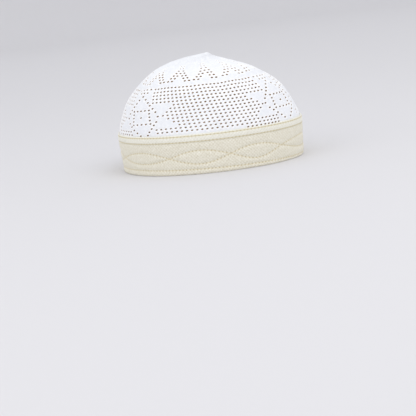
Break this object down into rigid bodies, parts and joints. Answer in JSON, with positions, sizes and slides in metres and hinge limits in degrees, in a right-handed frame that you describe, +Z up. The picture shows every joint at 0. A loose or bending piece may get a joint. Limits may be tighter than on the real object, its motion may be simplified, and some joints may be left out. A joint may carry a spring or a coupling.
{
  "type": "knitted cap",
  "caption": "Round brimless knitted cap with an openwork dome, a padded quilted headband and a narrow top binding, standing on its rim.",
  "frame": {"origin": "middle of the rim's bounding box, on the surface that the rim stands on", "axes": "+Z up from the rim to the tip, -Y to the front of the cap, -X to the wearer's right"},
  "size_m": [0.1678, 0.199, 0.1155],
  "materials": {
    "crown_knit": "matt fine white knit",
    "band_cloth": "matt cream twill, quilted",
    "binding_cloth": "matt cream twill"
  },
  "bodies": {
    "root": {"crown": "crown_knit", "band": "band_cloth", "top_binding": "binding_cloth"}
  },
  "joints": []
}
